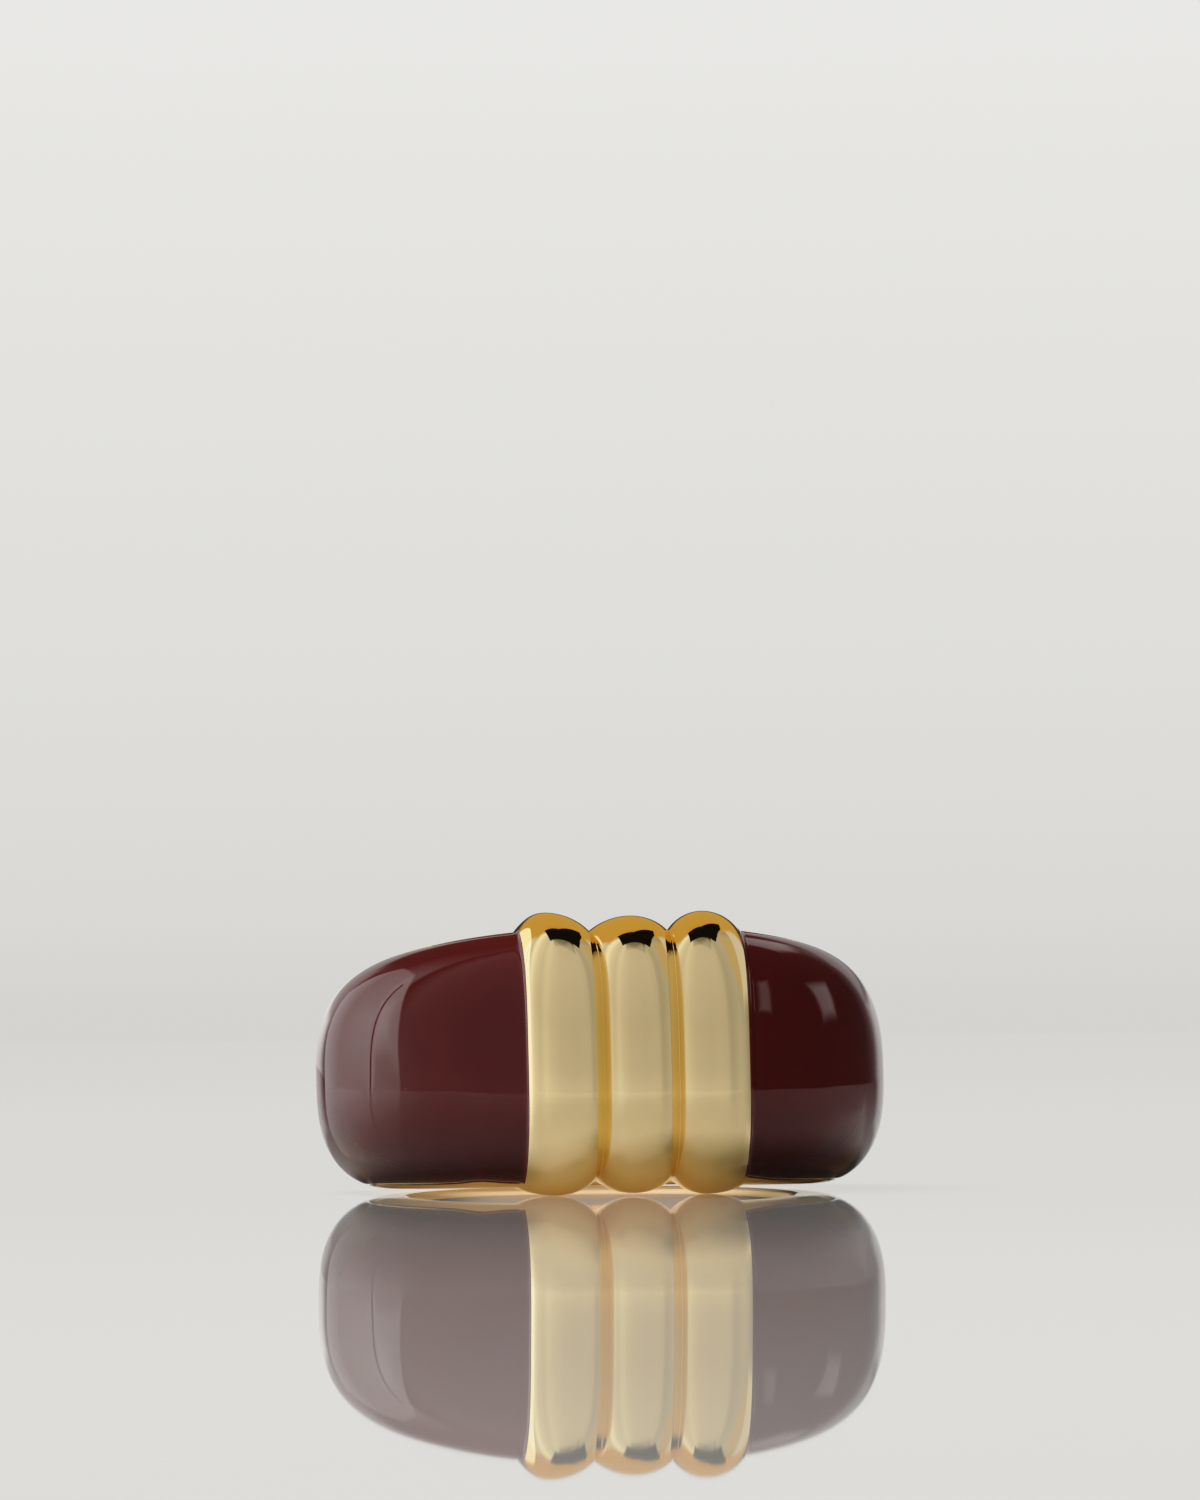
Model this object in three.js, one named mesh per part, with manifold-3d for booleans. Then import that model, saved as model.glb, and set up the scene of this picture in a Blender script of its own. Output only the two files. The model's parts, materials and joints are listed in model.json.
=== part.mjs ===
// A domed statement ring: one gold casting with three half-round ribs across its front,
// and an enamel panel let into each side of it. It lies on its side, as it rests by itself.
//
// The ring is drawn about its own axis, Z, with its ribbed front towards -Y, and the
// finished group is then leaned back until its front and its back touch the surface.
// Lengths are millimetres and angles are degrees.
import * as THREE from "three";
import { mergeVertices } from "three/addons/utils/BufferGeometryUtils.js";
import Module from "manifold-3d";

// The ring seen along its axis.
const FINGER_RADIUS = 8.65;
const DOME_RADIUS = 13.0;
const BACK_RADIUS = 10.9;

// The ring's width. Its two side faces are flat and close towards the back.
const HALF_WIDTH = 5.02;
const TAPER = 0.082;

// Its D-shaped section: a rounded inner edge, a flat side face and a full shoulder.
const EDGE_ROUNDING = 0.4;
const SHOULDER_RADIUS = 9.6;
const SHOULDER_REACH_POWER = 2.15;
const SHOULDER_HEIGHT_POWER = 2.75;

// The three ribs, parallel bars of one round section.
const RIB_PITCH = 3.41;
const RIB_DEPTH = 0.85;
const RIB_RISE = 0.64;

// Towards a side face the ribs are dressed down by so much, the middle one the most, and
// all of them on the side that the ring lies on. The outer two stand a little prouder on
// the upper side.
const UPPER_DRESSING = { crease: 0, outer: -0.11, middle: 0.19 };
const LOWER_DRESSING = { crease: 0.15, outer: 0.28, middle: 0.35 };
const BRIM_START_DEG = 25;
const BRIM_END_DEG = 75;

// The enamel panels and the channels they fill.
const ENAMEL_DEPTH = 0.8;
const ENAMEL_EDGE_DEG = 73;
const ENAMEL_END_DEG = 118;
const ENAMEL_GAP = 0.06;
const CUTTER_PROUD = 0.5;
const CUTTER_SPAN = 40;

// How finely the round shapes are divided.
const HALF_RIB_STEPS = 4;
const FAN_STEPS = 26;
const RIM_STEPS = 3;
const ENAMEL_STEPS = 12;
const LEAN_STEPS = 40;

const BLOCK_STEPS = 3 * HALF_RIB_STEPS;
const SLICES = 2 * (BLOCK_STEPS + FAN_STEPS);
const RIB_ARC_RADIUS = (RIB_DEPTH ** 2 + (RIB_PITCH / 2) ** 2) / (2 * RIB_DEPTH);
// Where the outer ribs' flanks sink to the level of the enamel.
const FLANK = Math.sqrt(RIB_ARC_RADIUS ** 2 - (RIB_ARC_RADIUS - RIB_RISE) ** 2);
const BLOCK_HALF = RIB_PITCH + FLANK;

const wasm = await Module();
wasm.setup();

// Half the ring's width at a place so far forward of its axis.
function halfWidth(forward) {
  return HALF_WIDTH + TAPER * forward;
}

// The dome's radius at an angle from the front: round, then an ellipse towards the back.
function domeRadius(angle) {
  const ahead = Math.cos(angle) > 0 ? DOME_RADIUS : BACK_RADIUS;
  return 1 / Math.hypot(Math.sin(angle) / DOME_RADIUS, Math.cos(angle) / ahead);
}

// How far a rib stands out of the dome, so far to the side of the ring's middle and at a
// brim from -1 at the lower side face to 1 at the upper one.
function ribRise(lateral, brim) {
  const nearest = RIB_PITCH * Math.min(1, Math.round(Math.abs(lateral) / RIB_PITCH));
  const away = Math.abs(lateral) - nearest;
  const sink = RIB_ARC_RADIUS - Math.sqrt(RIB_ARC_RADIUS ** 2 - away ** 2);
  return RIB_RISE - sink - Math.abs(brim) * ribDrop(lateral, 1 - sink / RIB_DEPTH, brim);
}

// How far the ribs are dressed down by a side face. Crest is 1 on a rib and 0 in a crease.
function ribDrop(lateral, crest, brim) {
  const { crease, outer, middle } = brim > 0 ? UPPER_DRESSING : LOWER_DRESSING;
  if (Math.abs(lateral) > RIB_PITCH) {
    const foot = 1 - RIB_RISE / RIB_DEPTH;
    return (outer * (crest - foot)) / (1 - foot);
  }
  const isMiddle = Math.abs(lateral) < RIB_PITCH / 2;
  return THREE.MathUtils.lerp(crease, isMiddle ? middle : outer, crest);
}

// A point of the section's shoulder at an angle from the crown, and the way it faces.
function shoulderPoint(angle, lift = 0) {
  const reach = Math.max(0, Math.cos(angle)) ** (2 / SHOULDER_REACH_POWER);
  const rise = Math.abs(Math.sin(angle)) ** (2 / SHOULDER_HEIGHT_POWER);
  const depth = DOME_RADIUS - SHOULDER_RADIUS;
  const facing = new THREE.Vector2(
    (SHOULDER_REACH_POWER * reach ** (SHOULDER_REACH_POWER - 1)) / depth,
    (SHOULDER_HEIGHT_POWER * rise ** (SHOULDER_HEIGHT_POWER - 1)) / HALF_WIDTH,
  ).normalize();
  const side = Math.sign(angle);
  return {
    radius: SHOULDER_RADIUS + depth * reach + lift * facing.x,
    height: side * (HALF_WIDTH * rise + lift * facing.y),
    facing: new THREE.Vector2(facing.x, side * facing.y),
    brim: side * THREE.MathUtils.smoothstep(
      THREE.MathUtils.radToDeg(Math.abs(angle)), BRIM_START_DEG, BRIM_END_DEG,
    ),
  };
}

// A point of the section on its inner edge or side face, which a rib lifts straight up.
function edgePoint(radius, height, side) {
  const facing = new THREE.Vector2(0, side);
  return { radius, height: side * height, facing, brim: side };
}

// The rounded inner edge on one side, from the finger hole's wall to the side face.
function innerEdge(side) {
  const corner = EDGE_ROUNDING * (1 - Math.SQRT1_2);
  return [
    edgePoint(FINGER_RADIUS, HALF_WIDTH - EDGE_ROUNDING, side),
    edgePoint(FINGER_RADIUS + corner, HALF_WIDTH - corner, side),
    edgePoint(FINGER_RADIUS + EDGE_ROUNDING, HALF_WIDTH, side),
  ];
}

// The shoulder curve from one angle to another, moved out by lift.
function shoulderCurve(from, to, steps, lift = 0) {
  return Array.from({ length: steps + 1 }, (_, step) =>
    shoulderPoint(THREE.MathUtils.lerp(from, to, step / steps), lift),
  );
}

// The whole D section as a closed loop, with a corner where the enamel's edges come.
function bodySection() {
  const side = Math.PI / 2;
  const edge = THREE.MathUtils.degToRad(ENAMEL_EDGE_DEG);
  return [
    ...innerEdge(-1),
    ...shoulderCurve(-side, -edge, RIM_STEPS),
    ...shoulderCurve(-edge, edge, ENAMEL_STEPS).slice(1, -1),
    ...shoulderCurve(edge, side, RIM_STEPS),
    ...innerEdge(1).reverse(),
  ];
}

// The section of a band let into the dome: its outer face stands proud of the dome by
// proud, its floor lies under the dome by depth, and its edges are drawn in by inset.
function bandSection(proud, depth, inset) {
  const edge = THREE.MathUtils.degToRad(ENAMEL_EDGE_DEG) - inset / HALF_WIDTH;
  const outer = shoulderCurve(-edge, edge, ENAMEL_STEPS, proud);
  const floor = shoulderCurve(-edge, edge, ENAMEL_STEPS, -depth);
  return [...outer, ...floor.reverse()];
}

// Where a section's point lies on a slice. The slices through the ribs are parallel
// planes, and the others open like a fan from the ribs to the middle of the back.
function planPosition(radius, slice) {
  const turn = slice > SLICES / 2 ? slice - SLICES : slice;
  const count = Math.abs(turn);
  const side = Math.sign(turn);
  if (count <= BLOCK_STEPS) {
    const ribCount = Math.min(count, 2 * HALF_RIB_STEPS) / HALF_RIB_STEPS;
    const flankCount = Math.max(0, count - 2 * HALF_RIB_STEPS) / HALF_RIB_STEPS;
    const lateral = (ribCount * RIB_PITCH) / 2 + flankCount * FLANK;
    return { lateral: side * lateral, forward: Math.sqrt(radius ** 2 - lateral ** 2) };
  }
  const first = Math.asin(BLOCK_HALF / radius);
  const angle = THREE.MathUtils.lerp(first, Math.PI, (count - BLOCK_STEPS) / FAN_STEPS);
  const share = (domeRadius(angle) - SHOULDER_RADIUS) / (DOME_RADIUS - SHOULDER_RADIUS);
  const actual = radius > SHOULDER_RADIUS
    ? SHOULDER_RADIUS + share * (radius - SHOULDER_RADIUS)
    : radius;
  return { lateral: side * actual * Math.sin(angle), forward: actual * Math.cos(angle) };
}

// A section carried all the way round the ring. It is lathed, and each of its points is
// then moved to its slice, to the ring's width there and, on the ribs, to their surface.
function carryRound(section, hasRibs) {
  const profile = section.map((point) => new THREE.Vector2(point.radius, point.height));
  const geometry = new THREE.LatheGeometry([...profile, profile[0]], SLICES);
  const position = geometry.getAttribute("position");
  for (let index = 0; index < position.count; index++) {
    const slice = Math.floor(index / (section.length + 1)) % SLICES;
    const point = section[(index % (section.length + 1)) % section.length];
    const { lateral, forward } = planPosition(point.radius, slice);
    const onRibs = hasRibs && Math.min(slice, SLICES - slice) < BLOCK_STEPS;
    const lift = onRibs ? ribRise(lateral, point.brim) : 0;
    const outward = 1 + (lift * point.facing.x) / point.radius;
    const height = (point.height / HALF_WIDTH) * halfWidth(forward) + lift * point.facing.y;
    position.setXYZ(index, lateral * outward, -forward * outward, height);
  }
  return geometry;
}

// A tall wedge, seen along the ring's axis, from the ribs' flank round to where the
// enamel ends. Both of its faces are drawn in by inset.
function panelWedge(side, inset) {
  const end = THREE.MathUtils.degToRad(ENAMEL_END_DEG);
  const near = BLOCK_HALF + inset;
  const slope = -1 / Math.tan(end);
  const drawnIn = inset / Math.sin(end);
  const outline = new THREE.Shape();
  outline.moveTo(side * near, -CUTTER_SPAN);
  outline.lineTo(side * CUTTER_SPAN, -CUTTER_SPAN);
  outline.lineTo(side * CUTTER_SPAN, slope * CUTTER_SPAN - drawnIn);
  outline.lineTo(side * near, slope * near - drawnIn);
  outline.closePath();
  const wedge = new THREE.ExtrudeGeometry(outline, {
    depth: CUTTER_SPAN,
    bevelEnabled: false,
  });
  return wedge.translate(0, 0, -CUTTER_SPAN / 2);
}

// A closed geometry as a manifold-3d solid, for joining and cutting.
function toSolid(geometry) {
  geometry.deleteAttribute("normal");
  geometry.deleteAttribute("uv");
  const merged = mergeVertices(geometry);
  return new wasm.Manifold(
    new wasm.Mesh({
      numProp: 3,
      vertProperties: merged.getAttribute("position").array,
      triVerts: new Uint32Array(merged.index.array),
    }),
  );
}

// A manifold-3d solid as a named mesh with its own material.
function toMesh(solid, name, material) {
  const { vertProperties, triVerts } = solid.getMesh();
  const geometry = new THREE.BufferGeometry();
  geometry.setAttribute("position", new THREE.BufferAttribute(vertProperties, 3));
  geometry.setIndex(new THREE.BufferAttribute(triVerts, 1));
  geometry.computeVertexNormals();
  const mesh = new THREE.Mesh(geometry, material);
  mesh.name = name;
  return mesh;
}

// The channel that one panel fills, reaching out past the dome's surface.
function channel(side) {
  const band = toSolid(carryRound(bandSection(CUTTER_PROUD, ENAMEL_DEPTH, 0), false));
  return band.intersect(toSolid(panelWedge(side, 0)));
}

// The casting: the domed ring with its ribs, less the two channels.
function ringBody() {
  const solid = toSolid(carryRound(bodySection(), true));
  const gold = new THREE.MeshStandardMaterial({
    color: 0xd8b878,
    roughness: 0.14,
    metalness: 1,
  });
  return toMesh(solid.subtract(channel(-1)).subtract(channel(1)), "ring_body", gold);
}

// One enamel panel, flush with the dome and a hair's gap off its channel's walls.
function enamelPanel(side, name) {
  const section = bandSection(0, ENAMEL_DEPTH - ENAMEL_GAP, ENAMEL_GAP);
  const wedge = toSolid(panelWedge(side, ENAMEL_GAP));
  const enamel = new THREE.MeshStandardMaterial({
    color: 0x4a1a1e,
    roughness: 0.08,
    metalness: 0,
  });
  return toMesh(toSolid(carryRound(section, false)).intersect(wedge), name, enamel);
}

// The lowest point, once leaned back, of the ring's front half or of its back half.
function lowest(position, lean, wantsFront) {
  let low = Infinity;
  for (let index = 0; index < position.count; index++) {
    const forward = -position.getY(index);
    const height = position.getZ(index) * Math.cos(lean) + forward * Math.sin(lean);
    if (forward > 0 === wantsFront) low = Math.min(low, height);
  }
  return low;
}

// How far the ring leans back when its front and its back both touch the surface.
function restLean(position) {
  let least = 0;
  let most = Math.PI / 6;
  for (let step = 0; step < LEAN_STEPS; step++) {
    const lean = (least + most) / 2;
    if (lowest(position, lean, true) < lowest(position, lean, false)) least = lean;
    else most = lean;
  }
  return least;
}

const body = ringBody();
const leaning = new THREE.Group();
leaning.add(body, enamelPanel(-1, "enamel_left"), enamelPanel(1, "enamel_right"));
leaning.rotation.x = -restLean(body.geometry.getAttribute("position"));
const box = new THREE.Box3().setFromObject(leaning, true);
leaning.position.y = -(box.min.y + box.max.y) / 2;
leaning.position.z = -box.min.z;

const ring = new THREE.Group();
ring.add(leaning);
export default ring;
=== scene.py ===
"""A domed statement ring in polished gold and burgundy enamel, lying on its side."""

import json
import logging
import math
from dataclasses import dataclass, field
from enum import Enum

import bmesh
import bpy
from mathutils import Matrix, Vector, noise

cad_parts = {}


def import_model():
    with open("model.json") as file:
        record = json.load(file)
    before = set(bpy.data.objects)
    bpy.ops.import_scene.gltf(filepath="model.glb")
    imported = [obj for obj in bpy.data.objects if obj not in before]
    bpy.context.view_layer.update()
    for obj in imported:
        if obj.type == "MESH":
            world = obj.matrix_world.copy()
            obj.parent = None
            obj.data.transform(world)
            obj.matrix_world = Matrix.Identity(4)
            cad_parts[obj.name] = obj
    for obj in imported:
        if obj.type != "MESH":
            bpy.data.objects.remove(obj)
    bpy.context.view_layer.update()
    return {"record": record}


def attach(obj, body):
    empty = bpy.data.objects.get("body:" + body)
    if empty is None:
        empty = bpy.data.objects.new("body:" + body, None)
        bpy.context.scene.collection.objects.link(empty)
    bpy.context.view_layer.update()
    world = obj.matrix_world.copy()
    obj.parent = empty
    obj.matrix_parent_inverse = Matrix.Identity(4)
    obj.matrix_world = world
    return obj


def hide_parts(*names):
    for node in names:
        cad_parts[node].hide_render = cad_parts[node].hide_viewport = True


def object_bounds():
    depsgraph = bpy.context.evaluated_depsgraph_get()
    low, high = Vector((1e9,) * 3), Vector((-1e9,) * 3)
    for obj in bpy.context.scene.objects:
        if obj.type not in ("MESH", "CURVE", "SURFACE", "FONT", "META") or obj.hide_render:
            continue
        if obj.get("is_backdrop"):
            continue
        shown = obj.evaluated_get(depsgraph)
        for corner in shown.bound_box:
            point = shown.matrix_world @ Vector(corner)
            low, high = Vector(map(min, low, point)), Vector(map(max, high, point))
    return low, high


log = logging.getLogger("statement_ring")

MM = 0.001
BODY = "root"

Pair = tuple[float, float]
Pairs = tuple[Pair, ...]
Color = tuple[float, float, float, float]
Stops = tuple[tuple[float, object], ...]
Pieces = list[bpy.types.Object]
Socket = bpy.types.NodeSocket

UNLIT: Color = (0.0, 0.0, 0.0, 1.0)


class Side(Enum):
    """Which side of the ribs an enamel panel lies on."""

    LEFT = -1
    RIGHT = 1


class Slot(Enum):
    """The material slots of the finished ring."""

    GOLD = "gold"
    ENAMEL = "enamel"


def lerp(start: float, end: float, share: float) -> float:
    """The value that lies a share of the way from start to end."""
    return start + (end - start) * share


def smooth_share(value: float) -> float:
    """A share from 0 to 1 eased at both of its ends."""
    clipped = min(1.0, max(0.0, value))
    return clipped * clipped * (3 - 2 * clipped)


def eased(value: float, start: float, end: float) -> float:
    """How far a value is on its way from start to end, eased at both of its ends."""
    return smooth_share((value - start) / (end - start))


def spread(start: float, end: float, steps: int, power: float = 1.0) -> list[float]:
    """Numbers from start to end, the first ones closer together if power is above 1.

    Args:
        start: The first number.
        end: The last number.
        steps: How many steps lie between them.
        power: 1 for even steps.

    Returns:
        The numbers, one more than there are steps.
    """
    return [lerp(start, end, (step / steps) ** power) for step in range(steps + 1)]


@dataclass(frozen=True)
class SectionPoint:
    """A point of the ring's section and the way that the surface faces there.

    Brim runs from -1 at the lower side face over 0 at the crown to 1 at the upper one.
    """

    radius: float
    height: float
    outward: float
    upward: float
    brim: float


@dataclass(frozen=True)
class Dressing:
    """How far the ribs are dressed down at one of the ring's side faces."""

    crease: float
    outer: float
    middle: float


@dataclass(frozen=True)
class RingShape:
    """The ring's surfaces about its own axis, Z, with its ribbed front towards -Y.

    A place on it is a station round the ring and an angle of its section, in degrees.
    Stations run from -3 to 3: the ribs' block lies between -1 and 1, the enamel ends at
    -2 and 2, and -3 and 3 meet in the middle of the back. Section angles run from -90 at
    the lower side face to 90 at the upper one.
    """

    finger_radius: float = 8.65 * MM
    dome_radius: float = 13.0 * MM
    back_radius: float = 10.9 * MM
    half_width: float = 5.02 * MM
    taper: float = 0.082
    edge_rounding: float = 0.4 * MM
    shoulder_radius: float = 9.6 * MM
    reach_power: float = 2.15
    height_power: float = 2.75
    rib_pitch: float = 3.41 * MM
    rib_depth: float = 0.85 * MM
    rib_rise: float = 0.64 * MM
    upper_dressing: Dressing = Dressing(0.0, -0.11 * MM, 0.19 * MM)
    lower_dressing: Dressing = Dressing(0.15 * MM, 0.28 * MM, 0.35 * MM)
    brim_start: float = 25.0
    brim_end: float = 75.0
    bend: float = 0.5 * MM
    bend_span: float = 1.5 * MM
    flank_spread: float = 0.14 * MM
    crease_blend: float = 0.09 * MM
    block_margin: float = 0.35 * MM
    enamel_edge: float = 73.0
    enamel_end: float = 118.0
    rim_scale: float = 0.06 * MM
    rim_fade: float = 28.0
    bump_rise: float = 4.4
    bump_middle: float = 2.1 * MM
    bump_span: float = 1.15 * MM
    wedge_rise: float = 6.0
    wedge_reach: float = 2.5 * MM
    wedge_power: float = 1.5

    @property
    def rib_arc(self) -> float:
        """The radius of a rib's round section."""
        return (self.rib_depth**2 + (self.rib_pitch / 2) ** 2) / (2 * self.rib_depth)

    @property
    def flank(self) -> float:
        """How far from a rib's middle its arc sinks to the dome."""
        return math.sqrt(self.rib_arc**2 - (self.rib_arc - self.rib_rise) ** 2)

    @property
    def foot(self) -> float:
        """How far to the side the outer ribs' flanks meet the dome."""
        return self.rib_pitch + self.flank + self.flank_spread

    @property
    def block(self) -> float:
        """How far to the side the parallel stations of the ribs' block reach."""
        return self.foot + self.block_margin

    def dome(self, angle: float) -> float:
        """The dome's radius at an angle from the front, in radians."""
        ahead = self.dome_radius if math.cos(angle) > 0 else self.back_radius
        return 1 / math.hypot(math.sin(angle) / self.dome_radius, math.cos(angle) / ahead)

    def rib_height(self, away: float) -> float:
        """How far one rib stands out of the dome, so far from its middle."""
        return self.rib_rise - self.rib_arc + math.sqrt(max(0.0, self.rib_arc**2 - away**2))

    def rib_lift(self, lateral: float, brim: float) -> float:
        """How far the ribs stand out of the dome, so far to the side of the middle.

        Args:
            lateral: The distance to the side of the ring's middle plane.
            brim: How near a side face the place is, from -1 to 1.

        Returns:
            The height over the dome, below zero in the creases between the ribs.
        """
        side = abs(lateral)
        if side >= self.foot:
            return 0.0
        if side > self.rib_pitch:
            drawn = self.flank / (self.flank + self.flank_spread)
            height = self.rib_height((side - self.rib_pitch) * drawn)
            return height - self.dressed_off(side, height, brim)
        middle = self.rib_height(side)
        outer = self.rib_height(side - self.rib_pitch)
        height = max(middle, outer)
        near = max(0.0, self.crease_blend - abs(middle - outer)) / self.crease_blend
        blended = height + self.crease_blend * near**2 / 4
        return blended - self.dressed_off(side, height, brim)

    def dressed_off(self, side: float, height: float, brim: float) -> float:
        """How much of a rib's height is dressed off on the way to a side face.

        Args:
            side: How far to either side of the ring's middle plane the place is.
            height: The rib's full height over the dome there.
            brim: How near a side face the place is, from -1 to 1.

        Returns:
            The height that is dressed off.
        """
        dressing = self.upper_dressing if brim > 0 else self.lower_dressing
        if side > self.rib_pitch:
            return abs(brim) * dressing.outer * height / self.rib_rise
        crest = 1 - (self.rib_rise - height) / self.rib_depth
        top = dressing.middle if side < self.rib_pitch / 2 else dressing.outer
        return abs(brim) * lerp(dressing.crease, top, crest)

    def bent(self, lateral: float, brim: float) -> float:
        """Where the left rib's upper end, which bends outwards, comes to lie.

        Args:
            lateral: The distance to the side of the ring's middle plane before the bend.
            brim: How near a side face the place is, from -1 to 1.

        Returns:
            The distance to the side after the bend.
        """
        near = math.exp(-(((lateral + self.rib_pitch) / self.bend_span) ** 2))
        rooted = max(0.0, 1 - (lateral / self.foot) ** 4)
        return lateral - self.bend * near * rooted * max(0.0, brim)

    def shoulder(self, angle: float) -> SectionPoint:
        """The point of the section's shoulder at a section angle.

        Args:
            angle: The section angle in degrees.

        Returns:
            The point on the dome and the way it faces.
        """
        turn = math.radians(angle)
        reach = max(0.0, math.cos(turn)) ** (2 / self.reach_power)
        rise = abs(math.sin(turn)) ** (2 / self.height_power)
        depth = self.dome_radius - self.shoulder_radius
        outward = self.reach_power * reach ** (self.reach_power - 1) / depth
        upward = self.height_power * rise ** (self.height_power - 1) / self.half_width
        length = math.hypot(outward, upward)
        side = math.copysign(1.0, angle)
        return SectionPoint(
            self.shoulder_radius + depth * reach,
            side * self.half_width * rise,
            outward / length,
            side * upward / length,
            side * eased(abs(angle), self.brim_start, self.brim_end),
        )

    def wall(self, radius: float, height: float) -> SectionPoint:
        """A point of a side face, inner edge or finger hole, which a rib lifts straight.

        Args:
            radius: The point's distance from the ring's axis.
            height: Its height over the ring's middle.

        Returns:
            The point of the section.
        """
        full = self.half_width - self.edge_rounding
        upward = min(1.0, max(-1.0, height / full))
        return SectionPoint(radius, height, 0.0, upward, upward)

    def plan(self, radius: float, station: float, brim: float = 0.0) -> Pair:
        """Where a station puts a point of the section, seen along the ring's axis.

        Args:
            radius: The point's radius on the round dome.
            station: The station round the ring.
            brim: How near a side face the point is, from -1 to 1.

        Returns:
            How far to the side and how far forward the point is.
        """
        side = math.copysign(1.0, station)
        along = abs(station)
        if along <= 1:
            lateral = self.bent(station * self.block, brim)
            return lateral, math.sqrt(radius**2 - lateral**2)
        end = math.radians(self.enamel_end)
        if along <= 2:
            angle = lerp(math.asin(self.block / radius), end, along - 1)
        else:
            angle = lerp(end, math.pi, along - 2)
        depth = self.dome_radius - self.shoulder_radius
        share = (self.dome(angle) - self.shoulder_radius) / depth
        beyond = max(0.0, radius - self.shoulder_radius)
        actual = min(radius, self.shoulder_radius) + share * beyond
        return side * actual * math.sin(angle), actual * math.cos(angle)

    def place(self, point: SectionPoint, station: float, lift: float) -> Vector:
        """The place of a section point at a station, moved out of the surface by lift.

        Args:
            point: The point of the section.
            station: The station round the ring.
            lift: How far out of the surface the point stands.

        Returns:
            The place in the ring's own frame.
        """
        lateral, forward = self.plan(point.radius, station, point.brim)
        outward = 1 + lift * point.outward / point.radius
        width = self.half_width + self.taper * forward
        height = point.height / self.half_width * width + lift * point.upward
        return Vector((lateral * outward, -forward * outward, height))

    def rim_shift(self, station: float) -> float:
        """How many degrees of section the enamel's lower rim is drawn up by.

        The enamel was laid by hand: beside the left rib its rim rises in a low bump that
        bares the gold lip, and beside the right rib it runs up the lip in a wedge.

        Args:
            station: The station round the ring.

        Returns:
            The shift in degrees of section angle.
        """
        lateral, _ = self.plan(self.dome_radius, station)
        beyond = abs(lateral) - self.foot
        if station < 0:
            away = (beyond - self.bump_middle) / self.bump_span
            return self.bump_rise * math.exp(-(away**2))
        near = max(0.0, 1 - max(0.0, beyond) / self.wedge_reach)
        return self.wedge_rise * near**self.wedge_power

    def section_angle(self, angle: float, station: float) -> float:
        """A section angle with the lower rim's unevenness carried into it.

        Args:
            angle: The section angle in degrees, on even rims.
            station: The station round the ring.

        Returns:
            The section angle in degrees.
        """
        if angle >= 0 or abs(station) < 0.5:
            return angle
        edge = -self.enamel_edge
        if angle < edge:
            share = (angle + 90) / (90 + edge)
        else:
            share = 1 - smooth_share((angle - edge) / self.rim_fade)
        return angle + self.rim_shift(station) * share


class Placement:
    """Lays the finished ring on its side where the frame's own solids lie."""

    def __init__(self, shape: RingShape, axis: Vector) -> None:
        """Works out the lean from the way that the frame's side face looks.

        Args:
            shape: The ring's shape.
            axis: The upper side face's outward direction in the frame.
        """
        lean = math.atan2(axis.y, axis.z) - math.atan(shape.taper)
        self.matrix = Matrix.Rotation(-lean, 4, "X")

    def fit(self, meshes: list[bmesh.types.BMesh]) -> None:
        """Leans the meshes together and seats them exactly in the frame's box.

        Args:
            meshes: The meshes of all the ring's pieces, in the ring's own frame.
        """
        leaned = [self.matrix @ vert.co for mesh in meshes for vert in mesh.verts]
        low, high = (Vector(c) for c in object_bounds())
        old_low = Vector([min(co[axis] for co in leaned) for axis in range(3)])
        old_high = Vector([max(co[axis] for co in leaned) for axis in range(3)])
        scales = [(high[a] - low[a]) / (old_high[a] - old_low[a]) for a in range(3)]
        stretch = Matrix.Diagonal((*scales, 1.0))
        middle = (old_low + old_high) / 2
        seat = Matrix.Translation((low + high) / 2) @ stretch @ Matrix.Translation(-middle)
        self.matrix = seat @ self.matrix
        for mesh in meshes:
            bmesh.ops.transform(mesh, matrix=self.matrix, verts=mesh.verts[:])
        log.info("seated with scales %s", [round(scale, 5) for scale in scales])


def finish_mesh(
    mesh: bmesh.types.BMesh, name: str, material: bpy.types.Material, sharp: float = 30.0
) -> bpy.types.Object:
    """Turns a bmesh into a smooth-shaded object with its sharp edges marked.

    Args:
        mesh: The finished bmesh, which is freed.
        name: The object's name.
        material: The object's material.
        sharp: Edges that turn by more than this angle, in degrees, stay crisp.

    Returns:
        The linked object.
    """
    bmesh.ops.recalc_face_normals(mesh, faces=mesh.faces[:])
    for face in mesh.faces:
        face.smooth = True
    for edge in mesh.edges:
        edge.smooth = edge.calc_face_angle(math.pi) < math.radians(sharp)
    data = bpy.data.meshes.new(name)
    mesh.to_mesh(data)
    mesh.free()
    data.materials.append(material)
    piece = bpy.data.objects.new(name, data)
    bpy.context.scene.collection.objects.link(piece)
    return piece


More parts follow.
